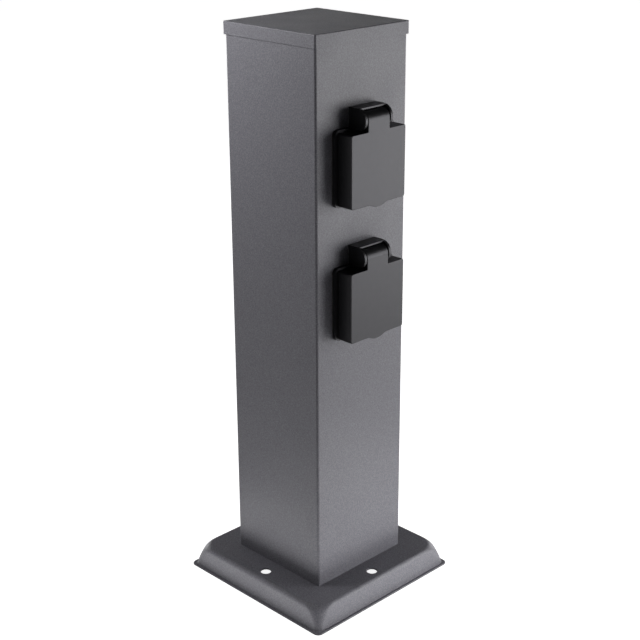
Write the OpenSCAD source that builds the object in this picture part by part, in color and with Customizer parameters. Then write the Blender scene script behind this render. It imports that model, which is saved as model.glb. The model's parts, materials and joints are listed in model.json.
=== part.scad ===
// Garden socket post: a square sheet-steel post on a pressed foot, with two sockets under hinged lids.
// The origin is the middle of the foot's underside, +Z is up and the sockets face -Y.

/* [Post] */
// Width of the square post
post_w = 80; // [76:1:100]
// Length of the post tube
post_len = 368.2; // [350:0.1:450]
// Sheet thickness of the post
post_sheet = 1.2; // [0.8:0.1:2]
// Inner bend radius of the post's edges
post_inner_r = 0.8; // [0.5:0.1:3]

/* [Cap] */
// Sheet thickness of the cap
cap_sheet = 0.8; // [0.6:0.1:1.5]
// Height of the cap's skirt
cap_skirt = 9; // [5:0.5:20]
// Gap between the cap's skirt and the post
cap_clearance = 0.2; // [0.1:0.05:0.5]
// Outer corner radius of the cap
cap_corner_r = 1.2; // [0.5:0.1:2]

/* [Base] */
// Width of the square base over its rim
base_w = 130; // [120:1:180]
// Height of the base
base_h = 16; // [12:1:30]
// Sheet thickness of the base
base_sheet = 1.2; // [0.8:0.1:2]
// Width of the flat rim
rim_w = 2; // [1.5:0.1:4]
// Thickness of the flat rim
rim_h = 1.4; // [1.2:0.1:2]
// Corner radius of the rim
rim_corner_r = 4; // [3:0.5:9]
// How far the base's side leans inwards
base_lean = 2.5; // [1:0.1:6]
// Corner radius at the foot of the side
base_low_corner_r = 6; // [4:0.5:12]
// Corner radius of the flat top
base_top_corner_r = 11; // [8:0.5:15]
// Fillet between the side and the flat top
base_edge_r = 4; // [2:0.1:5]
// Diameter of the ground bolts' pitch circle
bolt_pcd = 103; // [98:0.5:108]
// Diameter of a ground bolt hole
bolt_hole_d = 7.2; // [5:0.1:9]

/* [Foot] */
// Sheet thickness of the brackets inside the post
bracket_sheet = 1.5; // [1:0.1:3]
// Leg length of a foot bracket
foot_leg = 18; // [14:1:24]
// Length of a foot bracket along the post's wall
foot_bracket_len = 50; // [40:1:60]
// Spacing of the screws on a foot bracket
foot_screw_pitch = 30; // [20:1:36]
// Shank diameter of the foot screws
foot_screw_d = 4; // [3:0.5:5]
// Head diameter of the foot screws
foot_head_d = 8; // [7:0.5:10]
// Head height of the foot screws
foot_head_h = 2.5; // [2:0.1:4]
// Width across the flats of the foot nuts
foot_nut_flats = 7; // [7:0.5:8]
// Height of the foot nuts
foot_nut_h = 3.2; // [2:0.1:5]
// Radius of the cable grommet's bore
grommet_bore_r = 7; // [4:0.5:8]
// Wall of the grommet inside its hole
grommet_wall = 3; // [2:0.5:4]
// Lip of the grommet beyond its hole
grommet_lip = 2; // [1:0.5:3]
// Thickness of each grommet lip
grommet_lip_t = 2; // [1:0.5:3]

/* [Terminals] */
// Height of the terminals' middle
terminal_z = 95; // [80:1:140]
// Distance of the terminal bracket's upright behind the middle
bracket_y = 20; // [18:0.5:22]
// Width of the terminal bracket
bracket_w = 40; // [38:1:40]
// How far the bracket stands above the housing
bracket_rise = 9; // [4:1:12]
// Length of the bracket's foot
bracket_foot = 16; // [14:0.5:17]
// Depth of the terminal housing
housing_depth = 16; // [16:0.5:17]
// Height of the terminal housing
housing_h = 22; // [20:1:30]
// Width of a brass terminal block
terminal_w = 6.8; // [5:0.1:7]
// Depth of a brass terminal block
terminal_depth = 12.8; // [12:0.1:13]
// Height of a brass terminal block
terminal_h = 16; // [12:1:19]
// Gap between a brass block and its pocket
terminal_clearance = 0.1; // [0.05:0.05:0.3]
// Shank diameter of the small machine screws
small_screw_d = 3; // [2.5:0.1:3.2]
// Spacing of the screws that hold the housing
housing_screw_pitch = 33.4; // [32:0.2:34]

/* [Earth] */
// Height of the earth stud
stud_z = 130; // [125:1:150]
// Diameter of the earth stud
stud_d = 5; // [4:0.5:6]
// Length of the earth stud
stud_len = 14; // [10:1:15]
// Outer diameter of the earth lug and washer
washer_d = 10; // [9:0.5:14]
// Thickness of the lug and of the washer
washer_t = 1; // [0.5:0.1:2]
// Width across the flats of the earth nut
stud_nut_flats = 8; // [8:0.5:10]
// Height of the earth nut
stud_nut_h = 4; // [3:0.5:6]
// Length of the lug's barrel below its ring
lug_len = 8; // [6:0.5:12]
// Wall of the lug's barrel beyond the lead
lug_wall = 0.7; // [0.5:0.1:1]
// Gap between the lug's barrel and the post
lug_gap = 0.1; // [0.05:0.05:0.3]
// Drop of the case earth lead below the terminals
earth_drop = 22; // [18:1:30]

/* [Leads] */
// Outer diameter of an insulated lead
lead_d = 2.4; // [1.5:0.1:3]
// Gap round a lead in a hole that it passes
lead_play = 1.2; // [0.5:0.1:1.5]
// Bend radius of the leads
lead_bend_r = 6; // [4:0.5:7]
// Distance of the lower socket's leads behind the middle
lower_lead_y = 8; // [7.5:0.5:9]
// Distance of the upper socket's leads behind the middle
upper_lead_y = 14; // [13:0.5:15]

/* [Sockets] */
// Height of the upper lid's middle
upper_z = 301.5; // [295:0.5:310]
// Distance between the two lids' middles
socket_pitch = 87.5; // [80:0.5:100]
// Thickness of the rubber gasket behind a frame
gasket_t = 0.5; // [0.3:0.1:1]
// Thickness of the frame's flange
flange_t = 2.1; // [2:0.1:3]
// Flange beyond each side of the lid
flange_side = 2.5; // [1:0.1:5]
// Flange above the lid
flange_above = 1.5; // [1:0.1:3]
// Flange below the lid
flange_below = 1; // [0.5:0.1:3]
// Corner radius of the flange
flange_corner_r = 4; // [2:0.5:6]
// Radius of the plug recess
recess_r = 19.5; // [19:0.1:19.8]
// Wall of the recess tube
collar_wall = 1.2; // [1:0.1:1.2]
// Gap between the recess tube and its hole in the post
panel_clearance = 1.3; // [0.5:0.1:1.5]
// Least width of the gasket round the hole in the post
gasket_rim = 1.5; // [1:0.1:2]
// Distance of the collar's front from the post
collar_front = 7; // [6:0.1:7.5]
// Depth of the plug recess
recess_depth = 17.5; // [16:0.5:20]
// Half spacing of the frame screws, across
frame_screw_x = 18; // [17.5:0.1:18.5]
// Half spacing of the frame screws, upwards
frame_screw_u = 17.5; // [17:0.1:18]
// Head diameter of the frame screws
frame_head_d = 5.6; // [5:0.1:6]
// Height of the countersunk heads
frame_head_h = 1.4; // [1:0.1:1.6]
// Width across the flats of the small nuts
small_nut_flats = 5.5; // [5:0.1:5.6]
// Height of the small nuts
small_nut_h = 2.4; // [2:0.1:3]
// Play between a screw and its hole or nut
screw_play = 0.05; // [0.03:0.01:0.1]

/* [Inserts] */
// Thickness of the insert behind the recess
insert_t = 8; // [7:0.5:10]
// Spacing of the two plug pins
plug_pitch = 19; // [18.5:0.1:19.5]
// Diameter of a pin hole
plug_hole_d = 5.5; // [5:0.1:6]
// Web of the insert in front of the contact sleeves
insert_web = 2; // [1.5:0.1:3]
// Outer diameter of a contact sleeve
sleeve_d = 6.4; // [6:0.1:6.6]
// Bore of a contact sleeve
sleeve_bore = 4.9; // [4.5:0.1:5]
// Length of a contact sleeve
sleeve_len = 18.5; // [17:0.5:20]
// Depth of a sleeve's bore
sleeve_bore_len = 13.5; // [12:0.5:14]
// Gap between a sleeve and its pocket
sleeve_clearance = 0.1; // [0.05:0.05:0.2]
// Wall of the rear cover
cover_wall = 1.5; // [1:0.1:2]
// Depth of the rear cover
cover_depth = 16; // [15:0.5:18]
// Height of the insert's spigot inside the cover
spigot_h = 3; // [2:0.5:4]
// Wall of the spigot
spigot_wall = 1.5; // [1:0.1:2]
// Width of the earth strap
strap_w = 4; // [3:0.5:5]
// Thickness of the earth strap
strap_t = 0.8; // [0.5:0.1:1]
// Gap around the earth strap in the insert
strap_clearance = 0.2; // [0.1:0.05:0.3]
// How far the earth clips stand into the recess
clip_len = 8; // [6:0.5:12]
// Gap between an earth clip and the recess wall
clip_clearance = 0.5; // [0.4:0.05:1]
// How far a clip's tip bends inwards
clip_bend = 1.2; // [0.5:0.1:2]

/* [Lids] */
// Width of a lid
lid_w = 48; // [47:0.5:56]
// Height of a lid
lid_h = 46.2; // [46:0.1:56]
// Distance of the lid's front from the post
lid_front = 14.4; // [14:0.1:18]
// Thickness of the lid's front
lid_face = 2.2; // [1.5:0.1:2.5]
// Thickness of the lid's side walls
lid_wall = 2; // [1.5:0.1:2]
// Corner radius of a lid
lid_corner_r = 1.5; // [1:0.1:4]
// Gap between the lid and the flange or the collar
lid_gap = 0.3; // [0.3:0.05:0.5]
// Width of the finger lip
lip_w = 16; // [12:0.5:24]
// Drop of the finger lip below the lid
lip_drop = 2.6; // [1:0.1:5]
// Slant of the finger lip's ends
lip_slant = 4.5; // [0:0.1:5.5]
// Width of the lid's seal
seal_w = 1.8; // [1:0.1:2]
// Gap between the seal and the lid's walls
seal_inset = 0.6; // [0.5:0.05:0.7]
// Thickness of the lid's seal
seal_t = 2; // [1.5:0.1:2.5]

/* [Hinges] */
// Radius of the lid's knuckle
knuckle_r = 6; // [5.5:0.1:6.2]
// Height of the hinge pin above the lid
pin_rise = 6.5; // [6.5:0.1:8]
// Radius of the hinge pin
pin_r = 1.5; // [1:0.1:2]
// Running clearance of the hinge pin
pin_clearance = 0.05; // [0.02:0.01:0.1]
// Skin of an ear outside the pin's end
pin_skin = 0.6; // [0.4:0.1:1]
// Width of the lid's tongue
tongue_w = 19; // [18:0.1:22]
// Gap between the tongue and an ear
ear_gap = 0.7; // [0.3:0.1:1]
// Thickness of a hinge ear
ear_t = 1.8; // [1.5:0.1:3]
// How far an ear's round front stands past the knuckle
ear_past = 0.2; // [0:0.05:0.2]
// Gap round the knuckle in the frame
knuckle_gap = 0.4; // [0.3:0.05:0.5]
// Gap between the knuckle and the roof
roof_gap = 0.45; // [0.45:0.05:0.6]
// Thickness of the hinge roof
roof_t = 1; // [0.8:0.1:2]
// How far the roof reaches past the pin
roof_reach = 0.9; // [0.5:0.1:0.9]
// Width of the spring's space in the knuckle
spring_space_w = 9.6; // [9:0.1:12]
// Wall of the knuckle round the spring
spring_space_wall = 1.6; // [1.2:0.1:1.7]
// Wire diameter of the spring
wire_d = 0.8; // [0.6:0.05:0.8]
// Coil radius of the spring
coil_r = 3.2; // [3:0.05:3.3]
// Full turns of the spring
coil_turns = 5; // [3:1:5]
// Rise of each turn
coil_pitch = 1.3; // [1.25:0.05:1.3]
// Angle of the coil at the lid's leg
coil_start = 40; // [30:1:50]
// Angle of the coil at the frame's leg
coil_end = 160; // [150:1:165]
// Gap between a spring leg and what it bears on
leg_gap = 0.25; // [0.15:0.05:0.35]

/* [Hidden] */

$fn = 64;
over = 1;
corner_steps = 8;
least_corner_r = 0.5;
post_top = base_h + post_len;
post_in = post_w / 2 - post_sheet;
lower_z = upper_z - socket_pitch;

// Base and foot
base_side = base_w / 2 - rim_w;
base_flat = base_side - base_lean - base_edge_r;
foot_top = base_h + bracket_sheet;
foot_screw_x = post_in - foot_leg / 2 - bracket_sheet / 2;
bracket_screw_x = bracket_w / 4;
bracket_screw_y = bracket_y + bracket_sheet + (bracket_foot - bracket_sheet) / 2;
foot_screw_places = [
  for (x = [-foot_screw_x, foot_screw_x], y = [-foot_screw_pitch / 2, foot_screw_pitch / 2]) [x, y],
  for (x = [-bracket_screw_x, bracket_screw_x]) [x, bracket_screw_y]
];
foot_screw_out = foot_top + foot_nut_h + foot_screw_d / 4;
grommet_hole_r = grommet_bore_r + grommet_wall;

// Terminals and leads
terminal_pitch = plug_pitch / 2;
terminal_y = bracket_y - housing_depth / 2;
terminal_pocket_w = terminal_w + 2 * terminal_clearance;
terminal_pocket_depth = terminal_depth + 2 * terminal_clearance;
housing_w = bracket_w;
bracket_top = terminal_z + housing_h / 2 + bracket_rise;
earth_lead_z = terminal_z - terminal_h / 2 - earth_drop;
lead_hole_d = lead_d + 2 * lead_play;
lug_barrel_r = lead_d / 2 + lug_wall;
lug_barrel_y = post_in - lug_barrel_r - lug_gap;
lug_barrel_z = stud_z - washer_d / 2 - lug_len;

// Depths from the post's face outwards, and heights from the lid's middle
flange_front = gasket_t + flange_t;
collar_r = recess_r + collar_wall;
panel_hole_r = collar_r + panel_clearance;
flange_least = panel_hole_r + gasket_rim;
flange_w = 2 * max(lid_w / 2 + flange_side, flange_least);
flange_top = max(lid_h / 2 + flange_above, flange_least);
flange_bottom = max(lid_h / 2 + flange_below, flange_least);
flange_h = flange_top + flange_bottom;
flange_u = (flange_top - flange_bottom) / 2;
recess_floor = collar_front - recess_depth;
insert_back = recess_floor - insert_t;
cover_back = insert_back - cover_depth;
sleeve_front = recess_floor - insert_web;
sleeve_back = sleeve_front - sleeve_len;
sleeve_screw = (sleeve_front - sleeve_bore_len + sleeve_back) / 2;
strap_out = recess_r - clip_clearance;
lid_back = flange_front + lid_gap;
lid_inside = lid_front - lid_face;
seal_front = collar_front + lid_gap;
seal_back = seal_front + seal_t;
lid_room = min(lid_w, lid_h) / 2 - lid_wall;
seal_mid_r = lid_room - seal_inset - seal_w / 2;
frame_screw_places = [
  for (x = [-frame_screw_x, frame_screw_x], u = [-frame_screw_u, frame_screw_u]) [x, u]
];

// Hinge: its pin lies behind the lid's front by the knuckle's radius
pin_out = lid_front - knuckle_r;
pin_u = lid_h / 2 + pin_rise;
ear_r = knuckle_r + ear_past;
ear_in = tongue_w / 2 + ear_gap;
ear_out = ear_in + ear_t;
roof_under = pin_u + knuckle_r + roof_gap;
roof_top = roof_under + roof_t;
roof_front = pin_out + roof_reach;
ear_top_r = roof_top - pin_u;
ear_top_out = pin_out + ear_r - ear_top_r;
pin_end = ear_out - pin_skin;
spring_space_r = knuckle_r - spring_space_wall;

// Spring path: a short leg on the lid, the coil, and a longer leg on the frame
wire_r = wire_d / 2;
coil_angle = 360 * coil_turns + coil_end - coil_start;
coil_steps = round(coil_angle / 45);
coil_len = coil_pitch * coil_angle / 360;
lid_leg_r = spring_space_r - wire_r - leg_gap;
frame_leg_r = knuckle_r + knuckle_gap - wire_r - leg_gap;
lid_leg_len = sqrt(lid_leg_r * lid_leg_r - coil_r * coil_r);
frame_leg_len = sqrt(frame_leg_r * frame_leg_r - coil_r * coil_r);
function on_coil(a, x) = [x, coil_r * cos(a), coil_r * sin(a)];
function along_coil(a) = [0, -sin(a), cos(a)];
coil_points = [
  for (i = [0 : coil_steps])
    on_coil(coil_start + coil_angle * i / coil_steps, coil_len * (i / coil_steps - 0.5))
];
spring_path = concat(
  [coil_points[0] - lid_leg_len * along_coil(coil_start)],
  coil_points,
  [coil_points[coil_steps] + frame_leg_len * along_coil(coil_end)]
);
turn_steps = round(coil_steps * 360 / coil_angle);
spring_gap = min([
  for (i = [0 : coil_steps], j = [i + floor(turn_steps / 2) : 1 : coil_steps])
    norm(coil_points[j] - coil_points[i])
]) - wire_d;
echo(spring_gap = spring_gap);

// A closed solid over rings of equal counts of points, with a flat face over the first and the last ring
module skin(rings) {
  n = len(rings[0]);
  last = len(rings) - 1;
  walls = [
    for (i = [0 : last - 1], k = [0 : n - 1], half = [0, 1])
      let (a = i * n + k, b = i * n + (k + 1) % n)
        half == 0 ? [a, b, b + n] : [a, b + n, a + n]
  ];
  ends = [[for (k = [n - 1 : -1 : 0]) k], [for (k = [0 : n - 1]) last * n + k]];
  polyhedron([for (ring = rings, p = ring) p], concat(walls, ends));
}

// A square of width w with round corners of radius r
module rounded_square(w, r) rounded_rect(w, w, r);

// A rectangle with round corners
module rounded_rect(w, h, r) {
  square([w - 2 * r, h], center = true);
  square([w, h - 2 * r], center = true);
  for (x = [-1, 1], y = [-1, 1]) translate([x * (w / 2 - r), y * (h / 2 - r)]) circle(r);
}

// Moves a socket's piece to its place: +Y is outwards from the post's face, the lid's middle is the origin
module at_socket(z) translate([0, -post_w / 2, z]) rotate(180) children();

// An outline drawn in x and u, as a plate from depth d0 to depth d1
module plate(d0, d1) translate([0, d1, 0]) rotate([90, 0, 0]) linear_extrude(d1 - d0) children();

// A section drawn in depth and u, as a bar from x0 to x1
module bar(x0, x1) translate([x0, 0, 0]) rotate([90, 0, 90]) linear_extrude(x1 - x0) children();

// A round piece at x and u, from depth d0 to depth d1
module round_bar(d0, d1, r, x = 0, u = 0) translate([x, d0, u]) rotate([-90, 0, 0]) cylinder(d1 - d0, r = r);

// A hexagonal prism with the given width across its flats
module hex_bar(flats, h) cylinder(h, r = flats / sqrt(3), $fn = 6);

// Base: a skin over rings that run from the flat top down the outside, round the rim and up the inside
function square_ring(half, r, z) = [
  for (q = [0 : 3], k = [0 : corner_steps])
    let (a = 90 * (q + k / corner_steps), c = half - r)
      [c * (q == 0 || q == 3 ? 1 : -1) + r * cos(a), c * (q < 2 ? 1 : -1) + r * sin(a), z]
];
function fillet_ring(inset, a) =
  let (r = base_edge_r - inset)
    square_ring(base_flat + r * cos(a), base_top_corner_r + r * cos(a), base_h - base_edge_r + r * sin(a));
base_rings = [
  for (a = [90 : -30 : 0]) fillet_ring(0, a),
  square_ring(base_side, base_low_corner_r, rim_h),
  square_ring(base_w / 2, rim_corner_r, rim_h),
  square_ring(base_w / 2, rim_corner_r, 0),
  square_ring(base_side - base_sheet, base_low_corner_r - base_sheet, 0),
  for (a = [0 : 30 : 90]) fillet_ring(base_sheet, a)
];

module base_plate() color([0.27, 0.27, 0.29]) difference() {
  skin(base_rings);
  for (a = [0 : 90 : 270]) rotate(a) translate([bolt_pcd / 2, 0, 0]) cylinder(base_h + over, d = bolt_hole_d);
  for (p = foot_screw_places) translate(p) cylinder(base_h + over, d = foot_screw_d + 2 * screw_play);
  cylinder(base_h + over, r = grommet_hole_r);
}

module post_tube() color([0.36, 0.36, 0.38]) difference() {
  translate([0, 0, base_h]) linear_extrude(post_len) difference() {
    rounded_square(post_w, post_inner_r + post_sheet);
    rounded_square(2 * post_in, post_inner_r);
  }
  for (z = [lower_z, upper_z]) at_socket(z) {
    round_bar(-post_sheet - over, over, panel_hole_r);
    for (p = frame_screw_places)
      round_bar(-post_sheet - over, over, small_screw_d / 2 + screw_play, p[0], p[1]);
  }
}

module top_cap() color([0.33, 0.33, 0.35]) difference() {
  inner_w = post_w + 2 * cap_clearance;
  cap_top = post_top + cap_sheet;
  translate([0, 0, cap_top - cap_skirt]) linear_extrude(cap_skirt)
    rounded_square(inner_w + 2 * cap_sheet, cap_corner_r);
  translate([0, 0, cap_top - cap_skirt - over]) linear_extrude(cap_skirt - cap_sheet + over)
    rounded_square(inner_w, post_inner_r);
}

module foot_brackets() color("silver") for (a = [0, 180]) rotate(a) difference() {
  union() {
    translate([post_in - foot_leg, -foot_bracket_len / 2, base_h]) cube([foot_leg, foot_bracket_len, bracket_sheet]);
    translate([post_in - bracket_sheet, -foot_bracket_len / 2, base_h])
      cube([bracket_sheet, foot_bracket_len, foot_leg]);
  }
  for (y = [-1, 1]) translate([foot_screw_x, y * foot_screw_pitch / 2, base_h - over])
    cylinder(bracket_sheet + 2 * over, d = foot_screw_d + 2 * screw_play);
}

module foot_screws() color("silver") for (p = foot_screw_places) translate(p) {
  head_top = base_h - base_sheet;
  translate([0, 0, head_top - foot_head_h]) cylinder(foot_head_h, d = foot_head_d);
  translate([0, 0, head_top]) cylinder(foot_screw_out - head_top, d = foot_screw_d);
}

module foot_nuts() color("silver") for (p = foot_screw_places) translate([p[0], p[1], foot_top]) difference() {
  hex_bar(foot_nut_flats, foot_nut_h);
  translate([0, 0, -over]) cylinder(foot_nut_h + 2 * over, d = foot_screw_d + 2 * screw_play);
}

module cable_grommet() color([0.1, 0.1, 0.1]) {
  lip_r = grommet_hole_r + grommet_lip;
  low = base_h - base_sheet - grommet_lip_t;
  difference() {
    union() {
      translate([0, 0, low]) cylinder(grommet_lip_t, r = lip_r);
      translate([0, 0, base_h]) cylinder(grommet_lip_t, r = lip_r);
      translate([0, 0, low]) cylinder(base_sheet + 2 * grommet_lip_t, r = grommet_hole_r - screw_play);
    }
    translate([0, 0, low - over]) cylinder(base_h, r = grommet_bore_r);
  }
}

// A hole along Y through the terminal bracket and what is fixed to it
module hole_along_y(x, z, d) translate([x, 0, z]) rotate([-90, 0, 0]) cylinder(post_in, d = d);

module terminal_bracket() color("silver") difference() {
  union() {
    translate([-bracket_w / 2, bracket_y, base_h]) cube([bracket_w, bracket_foot, bracket_sheet]);
    translate([-bracket_w / 2, bracket_y, base_h]) cube([bracket_w, bracket_sheet, bracket_top - base_h]);
  }
  for (x = [-bracket_screw_x, bracket_screw_x]) translate([x, bracket_screw_y, base_h - over])
    cylinder(bracket_sheet + 2 * over, d = foot_screw_d + 2 * screw_play);
  for (x = [-1, 1])
    hole_along_y(x * housing_screw_pitch / 2, terminal_z, small_screw_d + 2 * screw_play);
  hole_along_y(0, earth_lead_z, lead_hole_d);
}

module terminal_housing() color([0.9, 0.9, 0.86]) difference() {
  translate([-housing_w / 2, bracket_y - housing_depth, terminal_z - housing_h / 2])
    cube([housing_w, housing_depth, housing_h]);
  for (i = [-1, 0, 1]) {
    translate([i * terminal_pitch, terminal_y, terminal_z])
      cube([terminal_pocket_w, terminal_pocket_depth, housing_h + over], center = true);
    translate([i * terminal_pitch, 0, terminal_z]) rotate([-90, 0, 0])
      cylinder(terminal_y, d = small_screw_d + 2 * screw_play);
  }
  for (x = [-1, 1])
    hole_along_y(x * housing_screw_pitch / 2, terminal_z, small_screw_d + 2 * screw_play);
}

module terminal_blocks() color("goldenrod") for (i = [-1, 0, 1])
  translate([i * terminal_pitch, terminal_y, terminal_z])
    difference() {
      cube([terminal_w, terminal_depth, terminal_h], center = true);
      rotate([90, 0, 0]) cylinder(terminal_depth, d = small_screw_d + 2 * screw_play);
    }

module terminal_screws() color("silver") for (i = [-1, 0, 1])
  translate([i * terminal_pitch, terminal_y, terminal_z]) rotate([90, 0, 0])
    cylinder(housing_depth / 2, d = small_screw_d);

module housing_screws() color("silver") for (x = [-1, 1])
  translate([x * housing_screw_pitch / 2, bracket_y - housing_depth, terminal_z]) rotate([-90, 0, 0]) {
    translate([0, 0, -small_screw_d / 2]) cylinder(small_screw_d / 2, d = 2 * small_screw_d);
    cylinder(housing_depth + bracket_sheet + small_nut_h, d = small_screw_d);
  }

module housing_nuts() color("silver") for (x = [-1, 1])
  translate([x * housing_screw_pitch / 2, bracket_y + bracket_sheet, terminal_z]) rotate([-90, 0, 0]) small_nut();

// Nut for the small machine screws, standing on z = 0
module small_nut() difference() {
  hex_bar(small_nut_flats, small_nut_h);
  translate([0, 0, -over]) cylinder(small_nut_h + 2 * over, d = small_screw_d + 2 * screw_play);
}

// Places a piece of the earth connection on the stud, measured inwards from the post's back wall
module on_stud() translate([0, post_in, stud_z]) rotate([90, 0, 0]) children();

module earth_stud() color("silver") on_stud() cylinder(stud_len, d = stud_d);

module earth_lug() color("silver") difference() {
  union() {
    on_stud() cylinder(washer_t, d = washer_d);
    translate([0, post_in - washer_t, stud_z - washer_d / 2 - lug_len / 2])
      translate([-lug_barrel_r / 2, 0, 0]) cube([lug_barrel_r, washer_t, washer_d / 2 + lug_len / 2]);
    translate([0, lug_barrel_y, lug_barrel_z]) cylinder(lug_len, r = lug_barrel_r);
  }
  on_stud() translate([0, 0, -over]) cylinder(washer_t + 2 * over, d = stud_d + 2 * screw_play);
}

module earth_washer() color("silver") on_stud() translate([0, 0, washer_t]) difference() {
  cylinder(washer_t, d = washer_d);
  translate([0, 0, -over]) cylinder(washer_t + 2 * over, d = stud_d + 2 * screw_play);
}

module earth_nut() color("silver") on_stud() translate([0, 0, 2 * washer_t]) difference() {
  hex_bar(stud_nut_flats, stud_nut_h);
  translate([0, 0, -over]) cylinder(stud_nut_h + 2 * over, d = stud_d + 2 * screw_play);
}

// A quarter bend of a lead in the YZ plane, from angle a to a + 90 about its centre
module lead_bend(y, z, a) translate([0, y, z]) rotate([90, 0, 90]) rotate(a)
  rotate_extrude(angle = 90) translate([lead_bend_r, 0]) circle(d = lead_d);

// A straight run of a lead, upwards from z0 to z1
module lead_rise(y, z0, z1) translate([0, y, z0]) cylinder(z1 - z0, d = lead_d);

// A straight run of a lead along Y
module lead_along(y0, y1, z) translate([0, y0, z]) rotate([-90, 0, 0]) cylinder(y1 - y0, d = lead_d);

module case_earth_lead() color([0.55, 0.7, 0.15]) {
  bend_z = earth_lead_z + lead_bend_r;
  lead_rise(terminal_y, bend_z, terminal_z - terminal_h / 2);
  lead_bend(terminal_y + lead_bend_r, bend_z, 180);
  lead_along(terminal_y + lead_bend_r, lug_barrel_y - lead_bend_r, earth_lead_z);
  lead_bend(lug_barrel_y - lead_bend_r, bend_z, 270);
  lead_rise(lug_barrel_y, bend_z, lug_barrel_z);
}

// A lead that rises from its terminal at y and turns forward to a contact at depth end_d of the socket at z
module socket_lead(x, y, z, end_d) translate([x, 0, 0]) {
  lead_rise(y, terminal_z + terminal_h / 2, z - lead_bend_r);
  lead_bend(y - lead_bend_r, z - lead_bend_r, 0);
  lead_along(-post_w / 2 - end_d, y - lead_bend_r, z);
}

module gasket() color([0.08, 0.08, 0.08]) plate(0, gasket_t) difference() {
  frame_outline();
  circle(panel_hole_r);
  for (p = frame_screw_places) translate(p) circle(small_screw_d / 2 + screw_play);
}

// Outline of the frame: flange and hinge tower
module frame_outline() {
  translate([0, flange_u]) rounded_rect(flange_w, flange_h, flange_corner_r);
  translate([-ear_out, 0]) square([2 * ear_out, roof_top]);
}

// Countersunk screw outline, turned about the depth axis; grow adds play all round
module frame_screw_form(grow) {
  round_bar(-post_sheet - small_nut_h, flange_front, small_screw_d / 2 + grow);
  translate([0, flange_front - frame_head_h, 0]) rotate([-90, 0, 0])
    cylinder(frame_head_h, r1 = small_screw_d / 2 + grow, r2 = frame_head_d / 2 + grow);
}

// Outer quarter of a disc, above or below its middle
module quarter_disc(r, above) difference() {
  circle(r);
  translate([-r, -r]) square([r, 2 * r]);
  translate([0, above ? -r : 0]) square(r);
}

// Outline of a hinge ear: round about the pin below it, and a wider round from its front up to the roof's top
module ear_outline() {
  translate([pin_out, pin_u]) quarter_disc(ear_r, false);
  translate([gasket_t, pin_u - ear_r]) square([pin_out - gasket_t, ear_r]);
  translate([ear_top_out, pin_u]) quarter_disc(ear_top_r, true);
  translate([gasket_t, pin_u]) square([ear_top_out - gasket_t, ear_top_r]);
}

module socket_frame() color([0.13, 0.13, 0.14]) difference() {
  roof = ear_in + ear_t / 2;
  union() {
    plate(gasket_t, flange_front) frame_outline();
    round_bar(recess_floor, collar_front, collar_r);
    for (x = [-ear_out, ear_in]) bar(x, x + ear_t) ear_outline();
    bar(-roof, roof) translate([gasket_t, roof_under]) square([roof_front - gasket_t, roof_t]);
  }
  round_bar(recess_floor - over, collar_front + over, recess_r);
  bar(-ear_in, ear_in) translate([pin_out, pin_u]) circle(knuckle_r + knuckle_gap);
  bar(-pin_end, pin_end) translate([pin_out, pin_u]) circle(pin_r + pin_clearance);
  for (p = frame_screw_places) translate([p[0], 0, p[1]]) frame_screw_form(screw_play);
}

module frame_screws() color("silver") for (p = frame_screw_places)
  translate([p[0], 0, p[1]]) frame_screw_form(0);

module frame_nuts() color("silver") for (p = frame_screw_places)
  translate([p[0], -post_sheet, p[1]]) rotate([90, 0, 0]) small_nut();

module insert() color([0.16, 0.16, 0.17]) difference() {
  spigot_r = collar_r - cover_wall - screw_play;
  slot_w = strap_w + 2 * strap_clearance;
  slot_t = strap_t + strap_clearance;
  union() {
    round_bar(insert_back, recess_floor, collar_r);
    difference() {
      round_bar(insert_back - spigot_h, insert_back, spigot_r);
      round_bar(insert_back - spigot_h - over, insert_back, spigot_r - spigot_wall);
    }
  }
  for (x = [-1, 1]) {
    round_bar(insert_back - over, recess_floor + over, plug_hole_d / 2, x * plug_pitch / 2);
    round_bar(insert_back - over, sleeve_front, sleeve_d / 2 + sleeve_clearance, x * plug_pitch / 2);
  }
  bar(-slot_w / 2, slot_w / 2) {
    translate([insert_back - spigot_h - over, -strap_out - strap_clearance])
      square([spigot_h + over + slot_t, 2 * (strap_out + strap_clearance)]);
    for (u = [-1, 1]) translate([insert_back, u * (strap_out - strap_t / 2) - strap_t / 2 - strap_clearance])
      square([insert_t + over, strap_t + 2 * strap_clearance]);
  }
}

module rear_cover() color([0.2, 0.2, 0.21]) difference() {
  round_bar(cover_back, insert_back, collar_r);
  round_bar(cover_back + cover_wall, insert_back + over, collar_r - cover_wall);
  for (i = [-1, 0, 1]) round_bar(cover_back - over, insert_back, lead_hole_d / 2, i * terminal_pitch);
}

module contact_sleeves() color("goldenrod") for (x = [-1, 1]) difference() {
  round_bar(sleeve_back, sleeve_front, sleeve_d / 2, x * plug_pitch / 2);
  round_bar(sleeve_front - sleeve_bore_len, sleeve_front + over, sleeve_bore / 2, x * plug_pitch / 2);
  contact_screw_form(x, sleeve_d, small_screw_d / 2 + screw_play);
}

// A screw in the side of the sleeve at side x, to the given reach from the sleeve's middle
module contact_screw_form(x, reach, r) translate([x * plug_pitch / 2, sleeve_screw, 0])
  rotate([0, 90 * x, 0]) translate([0, 0, sleeve_d / 8]) cylinder(reach - sleeve_d / 8, r = r);

module contact_screws() color("silver") for (x = [-1, 1])
  contact_screw_form(x, sleeve_d / 2 + small_screw_d / 4, small_screw_d / 2);

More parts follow.
